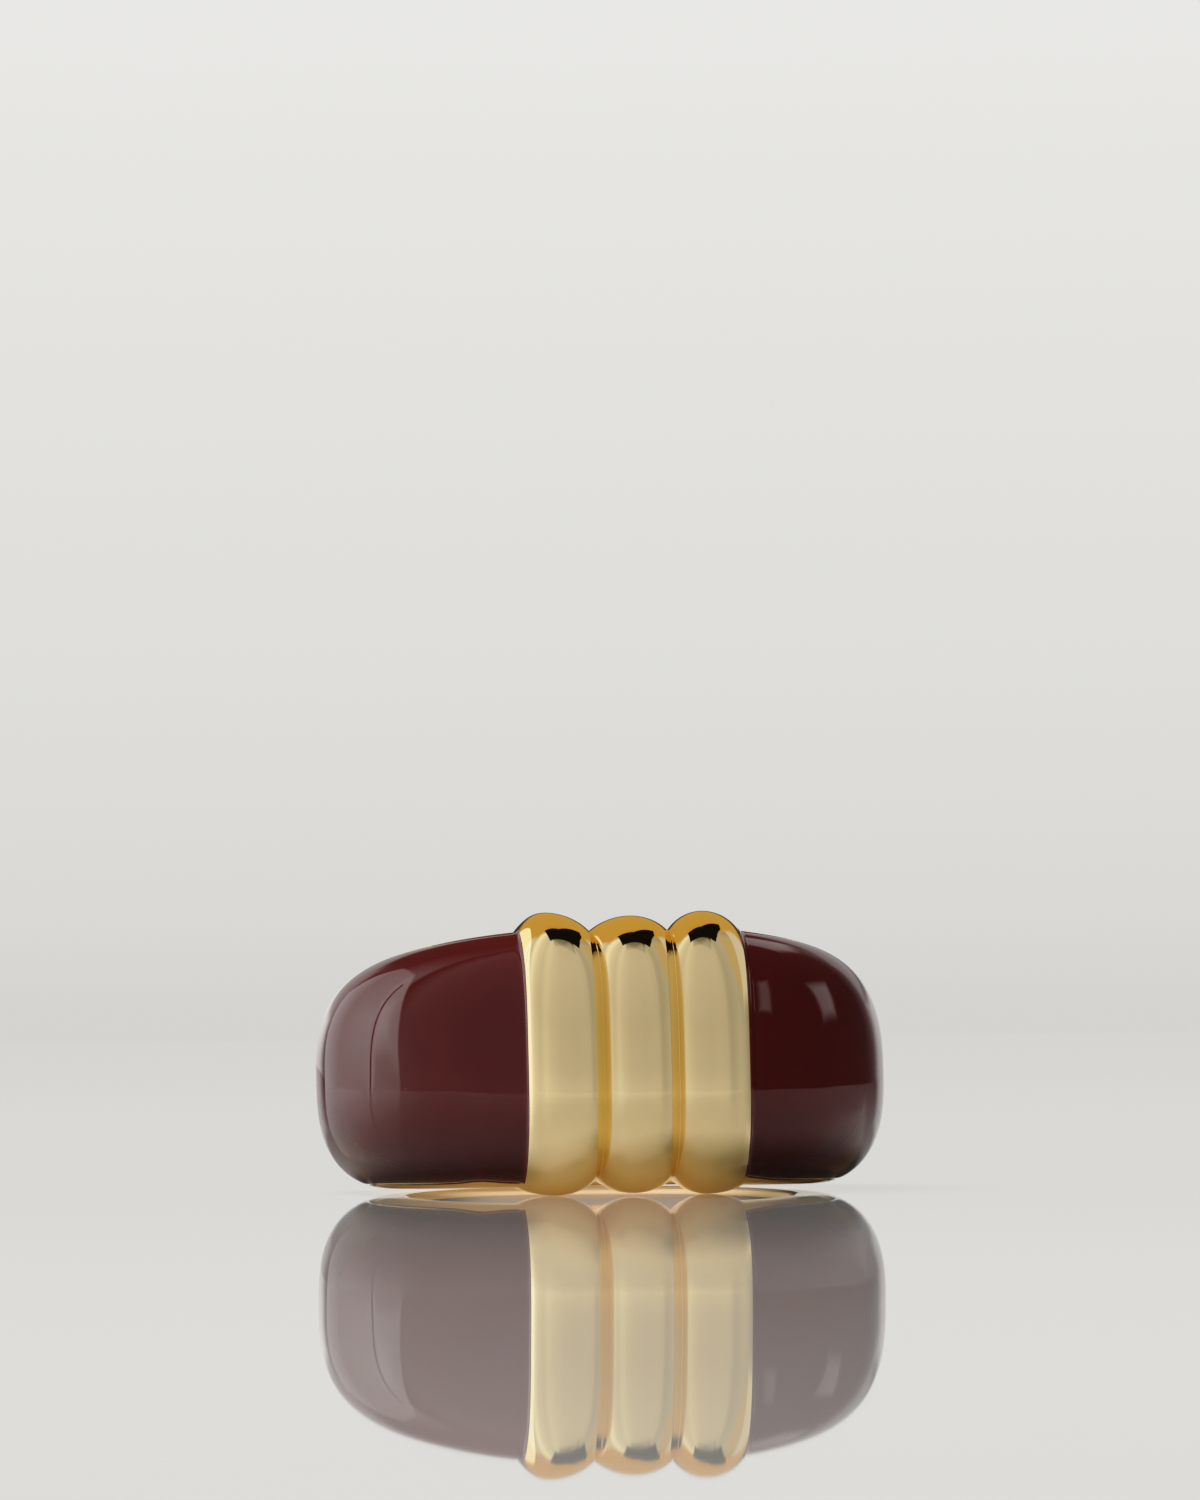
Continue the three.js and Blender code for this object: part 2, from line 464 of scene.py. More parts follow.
class Nodes:
    """Adds and links nodes in one node tree."""

    def __init__(self, tree: bpy.types.NodeTree) -> None:
        """Empties the tree."""
        self.tree = tree
        tree.nodes.clear()

    def add(self, kind: str, **settings: object) -> bpy.types.Node:
        """Adds a node and sets its properties and its sockets' own values.

        Args:
            kind: The node's type, without the ShaderNode prefix.
            **settings: Properties, or values of input sockets with underscores for
                spaces. A socket given as a value is linked instead.

        Returns:
            The new node.
        """
        prefix = "" if kind.startswith("NodeGroup") else "ShaderNode"
        node = self.tree.nodes.new(prefix + kind)
        for key, value in settings.items():
            self.set(node, key, value)
        return node

    def set(self, node: bpy.types.Node, key: str, value: object) -> None:
        """Sets one property or input of a node, or links a socket to the input.

        Args:
            node: The node.
            key: The property's name, the input's name or "in" and the input's number.
            value: The value, or an output socket.
        """
        numbered = key.startswith("in") and key[2:].isdigit()
        if not numbered and hasattr(node, key):
            setattr(node, key, value)
            return
        socket = node.inputs[int(key[2:]) if numbered else key.replace("_", " ")]
        if isinstance(value, Socket):
            self.tree.links.new(value, socket)
        else:
            socket.default_value = value

    def math(self, operation: str, *values: object) -> Socket:
        """A Math node's result for one or two values or sockets."""
        inputs = {f"in{index}": value for index, value in enumerate(values)}
        return self.add("Math", operation=operation, **inputs).outputs[0]

    def vector(self, operation: str, *values: object, output: int = 0) -> Socket:
        """A Vector Math node's result: output 0 is a vector and output 1 a number."""
        inputs = {f"in{index}": value for index, value in enumerate(values)}
        return self.add("VectorMath", operation=operation, **inputs).outputs[output]

    def place(self) -> Socket:
        """The spot on the piece, in the piece's own coordinates."""
        return self.add("TexCoord").outputs["Object"]

    def attribute(self, name: str) -> Socket:
        """The value that the piece's mesh holds under a name."""
        return self.add("Attribute", attribute_name=name).outputs["Fac"]

    def mix(self, share: object, first: object, second: object) -> Socket:
        """The colour that lies a share of the way from the first to the second."""
        node = self.add("Mix", data_type="RGBA", in0=share, in6=first, in7=second)
        return node.outputs[2]

    def ramp(self, value: object, stops: Stops) -> Socket:
        """A colour or level that runs through a row of stops.

        Args:
            value: The value or socket that the stops are laid out along.
            stops: Each stop's value, and its colour or its level as one number.

        Returns:
            The socket with the colour.
        """
        start, end = stops[0][0], stops[-1][0]
        share = self.range(value, start, end, 0.0, 1.0, easing="LINEAR")
        node = self.add("ValToRGB", in0=share)
        elements = node.color_ramp.elements
        while len(elements) < len(stops):
            elements.new(1.0)
        for element, (where, shown) in zip(elements, stops):
            element.position = (where - start) / (end - start)
            element.color = shown if isinstance(shown, tuple) else (shown, shown, shown, 1)
        return node.outputs[0]

    def range(self, value: object, *bounds: float, easing: str = "SMOOTHSTEP") -> Socket:
        """Maps a value from one range to another and keeps it within that.

        Args:
            value: The value or socket.
            *bounds: The first range's start and end and the second range's.
            easing: The Map Range node's way from start to end.

        Returns:
            The socket with the mapped value.
        """
        inputs = {f"in{index}": bound for index, bound in enumerate(bounds, 1)}
        node = self.add("MapRange", interpolation_type=easing, in0=value, **inputs)
        return node.outputs[0]


def new_material(name: str) -> tuple[bpy.types.Material, Nodes]:
    """Makes an empty node material.

    Args:
        name: The material's name.

    Returns:
        The material and its nodes.
    """
    material = bpy.data.materials.new(name)
    material.use_nodes = True
    return material, Nodes(material.node_tree)


@dataclass(frozen=True)
class Handwork:
    """The uneven tone, the haze and the gentle waves that handwork leaves in a surface."""

    name: str = "handwork"
    tone_scale: float = 260.0
    haze_scale: float = 900.0
    wave_scale: float = 210.0
    grain_scale: float = 3200.0

    def group(self) -> bpy.types.NodeTree:
        """Makes the node group, or finds it again.

        Returns:
            The group, with the place in and the tone, haze, wave and grain out.
        """
        if self.name in bpy.data.node_groups:
            return bpy.data.node_groups[self.name]
        tree = bpy.data.node_groups.new(self.name, "ShaderNodeTree")
        tree.interface.new_socket("Place", in_out="INPUT", socket_type="NodeSocketVector")
        scales = {
            "Tone": (self.tone_scale, 3.0),
            "Haze": (self.haze_scale, 5.0),
            "Wave": (self.wave_scale, 1.0),
            "Grain": (self.grain_scale, 2.0),
        }
        for output in scales:
            tree.interface.new_socket(output, in_out="OUTPUT", socket_type="NodeSocketFloat")
        nodes = Nodes(tree)
        place = tree.nodes.new("NodeGroupInput").outputs[0]
        result = tree.nodes.new("NodeGroupOutput")
        for index, (scale, detail) in enumerate(scales.values()):
            pattern = nodes.add("TexNoise", Vector=place, Scale=scale, Detail=detail)
            tree.links.new(pattern.outputs[0], result.inputs[index])
        return tree

    def use(self, nodes: Nodes, place: Socket) -> bpy.types.NodeOutputs:
        """Adds the group to a material.

        Args:
            nodes: The material's nodes.
            place: The spot on the piece.

        Returns:
            The group's outputs: the tone, haze, wave and grain.
        """
        return nodes.add("Group", node_tree=self.group(), Place=place).outputs

    def bump(
        self,
        nodes: Nodes,
        wave: Socket,
        grain: Socket,
        wave_height: float,
        grain_height: float,
    ) -> Socket:
        """Adds the relief of the waves and, over it, that of the grain.

        Args:
            nodes: The material's nodes.
            wave: The group's wave.
            grain: The group's grain.
            wave_height: How high the waves stand, in metres.
            grain_height: How high the grain stands, in metres.

        Returns:
            The surface's normal.
        """
        low = nodes.add("Bump", Height=wave, Strength=1.0, Distance=wave_height)
        high = nodes.add(
            "Bump", Height=grain, Strength=1.0, Distance=grain_height, Normal=low.outputs[0]
        )
        return high.outputs[0]


@dataclass(frozen=True)
class PolishedGold:
    """Pale yellow gold, hand-polished to a mirror with faint traces of the buffing and painted
    shade in the creases between the ribs.
    """

    color: Color = (0.94, 0.74, 0.40, 1.0)
    # The darker colour that the random tone and the painted crease shade move towards.
    dark_tone_and_shade_color: Color = (0.90, 0.66, 0.31, 1.0)
    tone_span: Pair = (0.3, 0.8)
    tone_depth: float = 0.35
    # How strongly painted shade darkens the creases between the ribs.
    crease_shade_depth: float = 0.8
    roughness: float = 0.045
    haze: float = 0.05
    haze_span: Pair = (0.45, 0.85)
    crease_haze: float = 0.06
    wave_height: float = 0.006 * MM
    grain_height: float = 0.0003 * MM

    def build(self) -> bpy.types.Material:
        """Makes the material.

        Returns:
            The finished material.
        """
        material, nodes = new_material("polished_gold")
        place = nodes.place()
        handwork = Handwork()
        tone, smear, wave, grain = handwork.use(nodes, place)
        recess = nodes.attribute("recess")
        shade = nodes.range(tone, *self.tone_span, 0.0, self.tone_depth)
        # Painted shade: the recess mask darkens the gold in the creases between the ribs, where
        # shade falls.
        crease = nodes.math("MULTIPLY", recess, self.crease_shade_depth)
        color = nodes.mix(nodes.math("MAXIMUM", shade, crease), self.color, self.dark_tone_and_shade_color)
        hazy = self.roughness + self.haze
        hazed = nodes.range(smear, *self.haze_span, self.roughness, hazy)
        rough = nodes.math("ADD", hazed, nodes.math("MULTIPLY", recess, self.crease_haze))
        normal = handwork.bump(nodes, wave, grain, self.wave_height, self.grain_height)
        shader = nodes.add(
            "BsdfPrincipled", Metallic=1.0, Base_Color=color, Roughness=rough, Normal=normal
        )
        nodes.add("OutputMaterial", Surface=shader.outputs[0])
        return material


@dataclass(frozen=True)
class BurgundyEnamel:
    """Deep burgundy enamel with a wet gloss, a few pale specks under its skin and painted shade
    towards its lower side.
    """

    color: Color = (0.132, 0.0200, 0.0190, 1.0)
    thin_color: Color = (0.22, 0.030, 0.024, 1.0)
    # The colour of the painted shade on the enamel's lower side.
    dark_tone_and_shade_color: Color = (0.058, 0.0085, 0.0080, 1.0)
    speck_color: Color = (0.42, 0.22, 0.20, 1.0)
    cloud_span: Pair = (0.35, 0.7)
    cloud_depth: float = 0.15
    speck_spacing: float = 1.1 * MM
    speck_radius: float = 0.035 * MM
    speck_core: float = 0.6
    speck_draw: Pair = (0.72, 0.74)
    roughness: float = 0.03
    haze: float = 0.03
    haze_span: Pair = (0.4, 0.85)
    wave_height: float = 0.005 * MM
    grain_height: float = 0.0002 * MM

    def build(self) -> bpy.types.Material:
        """Makes the material.

        Returns:
            The finished material.
        """
        material, nodes = new_material("burgundy_enamel")
        place = nodes.place()
        handwork = Handwork()
        cloud, smear, wave, grain = handwork.use(nodes, place)
        shade = nodes.range(cloud, *self.cloud_span, 0.0, self.cloud_depth)
        thin = nodes.math("MAXIMUM", shade, nodes.attribute("thin"))
        # Painted shade: the deep attribute darkens the enamel towards its lower side, where
        # shade falls.
        body = nodes.mix(nodes.attribute("deep"), self.color, self.dark_tone_and_shade_color)
        color = nodes.mix(thin, body, self.thin_color)
        cells = nodes.add("TexVoronoi", Vector=place, Scale=1 / self.speck_spacing)
        radius = self.speck_radius / self.speck_spacing
        away = cells.outputs["Distance"]
        speck = nodes.range(away, self.speck_core * radius, radius, 1.0, 0.0)
        draw = nodes.add("SeparateXYZ", Vector=cells.outputs["Color"]).outputs[0]
        drawn = nodes.range(draw, *self.speck_draw, 0.0, 1.0)
        color = nodes.mix(nodes.math("MULTIPLY", speck, drawn), color, self.speck_color)
        hazy = self.roughness + self.haze
        rough = nodes.range(smear, *self.haze_span, self.roughness, hazy)
        normal = handwork.bump(nodes, wave, grain, self.wave_height, self.grain_height)
        shader = nodes.add(
            "BsdfPrincipled", Base_Color=color, Roughness=rough, IOR=1.5, Normal=normal
        )
        nodes.add("OutputMaterial", Surface=shader.outputs[0])
        return material


@dataclass
class GoldCasting:
    """The gold ring: a domed shank with three ribs and a channel for each panel."""

    shape: RingShape
    rib_steps: int = 26
    panel_steps: int = 64
    back_steps: int = 40
    shoulder_steps: int = 30
    lip_steps: int = 8
    edge_steps: int = 7
    hole_steps: int = 6
    face_steps: int = 3
    crease_steps: int = 6
    margin_steps: int = 3
    crown_power: float = 1.3
    crease_half: float = 0.08 * MM
    recess_reach: float = 0.45 * MM
    channel_depth: float = 0.8 * MM
    channel_draft: float = 0.04 * MM
    sharp: float = 38.0
    mesh: bmesh.types.BMesh = field(init=False)

    def stations(self) -> list[float]:
        """The stations of the casting's slices, once round from the front's middle.

        Returns:
            Stations from 0 up to 3 and then from just over -3 back to 0.
        """
        shape = self.shape
        near = shape.rib_pitch / 2 - self.crease_half
        far = shape.rib_pitch / 2 + self.crease_half
        laterals = [
            *spread(0.0, near, self.rib_steps // 2),
            *spread(near, far, self.crease_steps)[1:],
            *spread(far, shape.foot, self.rib_steps)[1:],
            *spread(shape.foot, shape.block, self.margin_steps)[1:],
        ]
        ahead = [lateral / shape.block for lateral in laterals]
        ahead += spread(1.0, 2.0, self.panel_steps)[1:]
        ahead += spread(2.0, 3.0, self.back_steps)[1:]
        return ahead + [-station for station in reversed(ahead[1:-1])]

    def section(self) -> list[SectionPoint | float]:
        """The casting's D section as a closed loop of wall points and shoulder angles.

        Returns:
            A section point for each spot on the walls, and a section angle in degrees
            for each spot on the shoulder.
        """
        shape = self.shape
        rounding = shape.edge_rounding
        upper: list[SectionPoint | float] = [
            *spread(0.0, shape.enamel_edge, self.shoulder_steps, self.crown_power),
            *spread(shape.enamel_edge, 90.0, self.lip_steps)[1:],
        ]
        inner = shape.finger_radius + rounding
        for radius in spread(shape.shoulder_radius, inner, self.face_steps)[1:]:
            upper.append(shape.wall(radius, shape.half_width))
        for turn in spread(90.0, 180.0, self.edge_steps)[1:]:
            across, up = math.cos(math.radians(turn)), math.sin(math.radians(turn))
            height = shape.half_width - rounding * (1 - up)
            upper.append(shape.wall(inner + rounding * across, height))
        top = shape.half_width - rounding
        for height in spread(top, 0.0, self.hole_steps)[1:]:
            upper.append(shape.wall(shape.finger_radius, height))
        lower = []
        for spot in reversed(upper[1:-1]):
            if isinstance(spot, SectionPoint):
                lower.append(shape.wall(spot.radius, -spot.height))
            else:
                lower.append(-spot)
        return upper + lower

    def build(self) -> None:
        """Spins the section round the ring, warps it to shape and sinks the channels."""
        shape = self.shape
        section = self.section()
        stations = self.stations()
        mesh = bmesh.new()
        spot_layer = mesh.verts.layers.int.new("spot")
        station_layer = mesh.verts.layers.float.new("station")
        recess_layer = mesh.verts.layers.float.new("recess")
        upright = Matrix.Rotation(math.pi / 2, 4, "X")
        start = Matrix.Translation((shape.dome_radius, 0, 0)) @ upright
        bmesh.ops.create_circle(mesh, segments=len(section), radius=MM, matrix=start)
        for vert in mesh.verts:
            turn = math.atan2(vert.co.z, vert.co.x - shape.dome_radius)
            vert[spot_layer] = round(turn / math.tau * len(section)) % len(section)
        bmesh.ops.spin(
            mesh,
            geom=mesh.verts[:] + mesh.edges[:],
            cent=(0, 0, 0),
            axis=(0, 0, 1),
            angle=math.tau,
            steps=len(stations),
            use_merge=True,
        )
        for vert in mesh.verts:
            turn = math.atan2(vert.co.y, vert.co.x)
            station = stations[round(turn / math.tau * len(stations)) % len(stations)]
            spot = section[vert[spot_layer]]
            point = spot
            if not isinstance(spot, SectionPoint):
                point = shape.shoulder(shape.section_angle(spot, station))
            lateral = station * shape.block if abs(station) <= 1 else shape.foot
            vert.co = shape.place(point, station, shape.rib_lift(lateral, point.brim))
            vert[station_layer] = station
            # The recess mask carries the gold's painted shade and extra haze in the creases.
            vert[recess_layer] = self.recess(lateral)
        self.sink_channels(mesh, section, spot_layer, station_layer)
        mesh.verts.layers.int.remove(mesh.verts.layers.int["spot"])
        mesh.verts.layers.float.remove(mesh.verts.layers.float["station"])
        self.mesh = mesh

    def recess(self, lateral: float) -> float:
        """How deep in a crease between two ribs a place lies, from 0 to 1."""
        away = abs(abs(lateral) - self.shape.rib_pitch / 2)
        return 1 - smooth_share(away / self.recess_reach)

    def sink_channels(
        self,
        mesh: bmesh.types.BMesh,
        section: list[SectionPoint | float],
        spot_layer: bmesh.types.BMLayerItem,
        station_layer: bmesh.types.BMLayerItem,
    ) -> None:
        """Sinks the channel for each enamel panel into the shoulders.

        Args:
            mesh: The warped casting.
            section: The casting's section.
            spot_layer: The layer with each vertex's spot on the section.
            station_layer: The layer with each vertex's station.
        """
        shape = self.shape
        foot = shape.foot / shape.block
        hair = 1e-4

        def in_channel(vert: bmesh.types.BMVert, side: int) -> bool:
            """Tells the vertices of one side's channel from the others.

            Args:
                vert: The vertex.
                side: -1 for the left channel and 1 for the right one.

            Returns:
                Whether the vertex lies on the channel.
            """
            spot = section[vert[spot_layer]]
            if isinstance(spot, SectionPoint) or abs(spot) > shape.enamel_edge + hair:
                return False
            return foot - hair <= vert[station_layer] * side <= 2 + hair

        for side in Side:
            faces = [f for f in mesh.faces if all(in_channel(v, side.value) for v in f.verts)]
            bmesh.ops.recalc_face_normals(mesh, faces=mesh.faces[:])
            bmesh.ops.inset_region(
                mesh,
                faces=faces,
                use_boundary=True,
                use_even_offset=True,
                thickness=self.channel_draft,
                depth=-self.channel_depth,
            )

    def dress(self, gold: bpy.types.Material) -> bpy.types.Object:
        """Makes the object, gives it its finish and puts it on the frame.

        Args:
            gold: The casting's material.

        Returns:
            The finished piece.
        """
        piece = finish_mesh(self.mesh, "gold_casting", gold, self.sharp)
        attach(piece, BODY)
        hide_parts("ring_body")
        return piece


@dataclass
class EnamelPanel:
    """A panel of enamel that fills its channel and wets the rib beside it."""

    shape: RingShape
    side: Side
    bank_steps: int = 16
    round_steps: int = 96
    section_steps: int = 96
    row_power: float = 1.25
    meniscus_radius: float = 0.5 * MM
    tuck: float = 0.05 * MM
    tuck_depth: float = 0.035 * MM
    thickness: float = 0.74 * MM
    rim_width: float = 0.34 * MM
    rim_drop: float = 0.07 * MM
    rim_power: float = 2.5
    end_scale: float = 0.8
    rim_thinness: float = 0.7
    bank_thinness: float = 0.6
    bank_reach: Pair = (-0.21 * MM, 0.09 * MM)
    # Section angles over which the painted shade on the lower side fades in.
    lower_shade_reach: Pair = (-6.0, -58.0)
    wave_height: float = 0.012 * MM
    wave_length: float = 3.6 * MM
    sharp: float = 50.0
    mesh: bmesh.types.BMesh = field(init=False)

    def stations(self) -> list[float]:
        """Sets the stations of the panel's rows.

        Returns:
            Stations from the rib to where the enamel ends.
        """
        shape = self.shape
        wet, _ = self.meniscus_reach()
        bank = spread(wet, shape.block, self.bank_steps)
        rows = [(wet - self.tuck) / shape.block, *(lateral / shape.block for lateral in bank)]
        return rows + spread(1.0, 2.0, self.round_steps)[1:]

    def meniscus_reach(self) -> Pair:
        """Works out the fillet where the enamel climbs the rib.

        Returns:
            How far to the side it starts on the rib and ends on the dome.
        """
        shape = self.shape
        slope = math.asin(shape.flank / shape.rib_arc)
        tangent = self.meniscus_radius * math.tan(slope / 2)
        return shape.foot - tangent * math.cos(slope), shape.foot + tangent

    def bank_lift(self, lateral: float, brim: float) -> float:
        """How far the enamel stands over the dome.

        Args:
            lateral: How far to the side of the ring's middle plane the place is.
            brim: How near a side face the place is, from -1 to 1.

        Returns:
            The height over the dome.
        """
        shape = self.shape
        start, end = self.meniscus_reach()
        if lateral >= end:
            return 0.0
        if lateral < start:
            return shape.rib_lift(lateral, brim) - self.tuck_depth
        rise = self.meniscus_radius - math.sqrt(self.meniscus_radius**2 - (end - lateral) ** 2)
        return rise - shape.rib_lift(lateral, 0.0) + shape.rib_lift(lateral, brim)

    def rim_sink(self, angle: float, station: float) -> float:
        """How far the enamel rounds down below the dome near its rims.

        Args:
            angle: The section angle in degrees, on even rims.
            station: The station on this side, from 0 to 2.

        Returns:
            The drop below the dome.
        """
        shape = self.shape
        across = (shape.enamel_edge - abs(angle)) * shape.rim_scale
        panel_length = math.radians(shape.enamel_end) * shape.dome_radius
        along = panel_length * (2 - station) * self.end_scale
        near = min(1.0, across / self.rim_width), min(1.0, along / self.rim_width)
        return self.rim_drop * sum((1 - share) ** self.rim_power for share in near)

    def build(self) -> None:
        """Warps a grid to the panel's outer skin and gives it its thickness."""
        shape = self.shape
        rows = self.stations()
        mesh = bmesh.new()
        station_layer = mesh.verts.layers.float.new("station")
        angle_layer = mesh.verts.layers.float.new("angle")
        thin_layer = mesh.verts.layers.float.new("thin")
        lower_shade_layer = mesh.verts.layers.float.new("deep")
        bmesh.ops.create_grid(
            mesh, x_segments=len(rows) - 1, y_segments=self.section_steps, size=1.0
        )
        for vert in mesh.verts:
            station = rows[round((vert.co.x + 1) / 2 * (len(rows) - 1))]
            share = vert.co.y
            angle = math.copysign(abs(share) ** self.row_power, share) * shape.enamel_edge
            sink = self.rim_sink(angle, station)
            lateral = min(station, 1.0) * shape.block
            signed = station * self.side.value
            point = shape.shoulder(shape.section_angle(angle, signed))
            lift = self.bank_lift(lateral, point.brim) - sink
            spot = shape.place(point, signed, lift)
            wave = noise.noise(spot / self.wave_length) * self.wave_height
            vert.co = shape.place(point, signed, lift + wave)
            vert[station_layer] = signed
            vert[angle_layer] = angle
            banked = 1 - eased(lateral - shape.foot, *self.bank_reach)
            thin = self.rim_thinness * sink / self.rim_drop + self.bank_thinness * banked
            vert[thin_layer] = min(1.0, thin)
            # Painted shade: the deep attribute rises towards the lower rim and darkens the
            # enamel there.
            vert[lower_shade_layer] = eased(angle, *self.lower_shade_reach)
        skin = bmesh.ops.extrude_face_region(mesh, geom=mesh.faces[:])
        for vert in skin["geom"]:
            if isinstance(vert, bmesh.types.BMVert):
                station = vert[station_layer]
                point = shape.shoulder(shape.section_angle(vert[angle_layer], station))
                vert.co = shape.place(point, station, -self.thickness)
        for name in ("station", "angle"):
            mesh.verts.layers.float.remove(mesh.verts.layers.float[name])
        self.mesh = mesh

    def dress(self, enamel: bpy.types.Material) -> bpy.types.Object:
        """Makes the object, gives it its finish and puts it on the frame.

        Args:
            enamel: The panel's material.

        Returns:
            The finished piece.
        """
        name = f"enamel_{self.side.name.lower()}"
        piece = finish_mesh(self.mesh, f"{name}_panel", enamel, self.sharp)
        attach(piece, BODY)
        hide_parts(name)
        return piece


@dataclass(frozen=True)
class PaleFloor:
    """A pale, glossy tabletop that mirrors the ring at a low angle."""

    radius: float = 1.5
    segments: int = 160
    color: Color = (0.86, 0.85, 0.82, 1.0)
    glow: float = 0.07
    glow_span: Pair = (0.02, -0.21)
    warm_light: Color = (0.125, 0.082, 0.045, 1.0)
    warm_middle: Pair = (-1.4 * MM, -1.0 * MM)
    warm_reach: Pair = (8.8 * MM, 14.5 * MM)
    warm_edge: Pair = (0.72, 1.13)
    roughness: float = 0.012
    rougher: float = 1.6
    rough_span: Pair = (0.3, 0.7)
    mottle: float = 0.03
    mottle_scale: float = 14.0
    mottle_span: Pair = (0.35, 0.65)

    def shaded(self, share: float) -> Color:
        """The floor's colour at a share of its lightness."""
        return tuple(share * value for value in self.color[:3]) + (1.0,)

    def build(self, middle: Vector) -> bpy.types.Object:
        """Makes the floor.

        Args:
            middle: The ring's own middle, at the height of the floor.

        Returns:
            The floor, marked as stage.
        """
        material, nodes = new_material("pale_floor")
        place = nodes.place()
        warmest = tuple(middle + Vector((*self.warm_middle, 0)))
        off = nodes.vector("SUBTRACT", place, warmest)
        off = nodes.vector("DIVIDE", off, (*self.warm_reach, 1.0))
        off = nodes.vector("LENGTH", off, output=1)
        under = nodes.range(off, *self.warm_edge, 1.0, 0.0)
        ahead = nodes.add("SeparateXYZ", Vector=place).outputs[1]
        nearer = nodes.range(ahead, *self.glow_span, 0.0, 1.0)
        plain = nodes.mix(nearer, UNLIT, self.shaded(self.glow))
        glow = nodes.mix(under, plain, self.warm_light)
        noisy = nodes.add("TexNoise", Vector=place, Scale=self.mottle_scale, Detail=4.0)
        cloud = noisy.outputs[0]
        mottled = nodes.range(cloud, *self.mottle_span, 0.0, 1.0)
        color = nodes.mix(mottled, self.color, self.shaded(1 - self.mottle))
        roughest = self.roughness * self.rougher
        rough = nodes.range(cloud, *self.rough_span, self.roughness, roughest)
        shader = nodes.add(
            "BsdfPrincipled",
            Base_Color=color,
            Roughness=rough,
            IOR=1.5,
            Emission_Color=glow,
            Emission_Strength=1.0,
        )
        nodes.add("OutputMaterial", Surface=shader.outputs[0])
        mesh = bmesh.new()
        bmesh.ops.create_circle(
            mesh, cap_ends=True, segments=self.segments, radius=self.radius
        )
        floor = finish_mesh(mesh, "floor", material)
        floor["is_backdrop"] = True
        return floor


@dataclass(frozen=True)
class Card:
    """A flat-sided patch of the studio's surroundings, as the ring sees it.

    Its corners are laid out on a round map of the sky over the ring: the middle is
    straight up, the rim, 90 degrees out, is level, and lengths are degrees. X runs to the
    camera's right and Y towards the camera. Softness is the width of its faded edges.
    """

    corners: Pairs
    color: Color
    softness: float

    def edges(self) -> list[tuple[float, float, float]]:
        """The sides as factors of X, Y and 1 that give a spot's distance inside them.

        Returns:
            The three factors for each side, the distance being positive inside.
        """
        following = self.corners[1:] + self.corners[:1]
        sides = list(zip(self.corners, following))
        area = sum(x0 * y1 - x1 * y0 for (x0, y0), (x1, y1) in sides)
        facing = math.copysign(1.0, area)
        factors = []
        for (x0, y0), (x1, y1) in sides:
            length = math.hypot(x1 - x0, y1 - y0)
            across = -facing * (y1 - y0) / length
            along = facing * (x1 - x0) / length
            factors.append((across, along, -across * x0 - along * y0))
        return factors


@dataclass(frozen=True)
class Sky:
    """What a finish sees round the ring: a wall that varies with direction, and cards."""

    levels: Stops
    climb: Stops
    cards: tuple[Card, ...]
    tint: tuple[float, float, float] = (1.0, 0.995, 0.97)

    @staticmethod
    def directions(
        nodes: Nodes, direction: Socket, turn: float
    ) -> tuple[Socket, Socket, Socket]:
        """Works out where a direction lies in the sky.

        Args:
            nodes: The node tree to add to.
            direction: The direction that is looked along.
            turn: How far the camera stands round to the left, in degrees.

        Returns:
            The azimuth from the camera's side, rightwards, the elevation, both in degrees,
            and the spot on the round map of the sky with 1 as its third value.
        """
        swing = (0, 0, math.radians(turn))
        turned = nodes.add("Mapping", vector_type="POINT", Vector=direction, Rotation=swing)
        right, ahead, up = nodes.add("SeparateXYZ", Vector=turned.outputs[0]).outputs
        toward = nodes.math("MULTIPLY", ahead, -1.0)
        azimuth = nodes.math("DEGREES", nodes.math("ARCTAN2", right, toward))
        elevation = nodes.math("DEGREES", nodes.math("ARCSINE", up))
        level = nodes.add("CombineXYZ", X=right, Y=toward)
        heading = nodes.vector("NORMALIZE", level.outputs[0])
        from_top = nodes.math("SUBTRACT", 90.0, elevation)
        spot = nodes.vector("ADD", nodes.vector("MULTIPLY", heading, from_top), (0, 0, 1))
        return azimuth, elevation, spot

    def paint(
        self, nodes: Nodes, azimuth: Socket, elevation: Socket, spot: Socket
    ) -> Socket:
        """Adds the nodes that paint the wall and hang the cards in front of it.

        Args:
            nodes: The node tree to add to.
            azimuth: The direction's azimuth in degrees.
            elevation: The direction's elevation in degrees.
            spot: The direction's spot on the map of the sky.

        Returns:
            The light that comes from the direction.
        """
        level = nodes.ramp(azimuth, self.levels)
        wall = nodes.math("MULTIPLY", level, nodes.ramp(elevation, self.climb))
        seen = nodes.vector("MULTIPLY", self.tint, wall)
        for card in self.cards:
            inside, *others = (
                nodes.vector("DOT_PRODUCT", spot, side, output=1) for side in card.edges()
            )
            for other in others:
                inside = nodes.math("MINIMUM", inside, other)
            soft = card.softness / 2
            seen = nodes.mix(nodes.range(inside, -soft, soft, 0.0, 1.0), seen, card.color)
        return seen


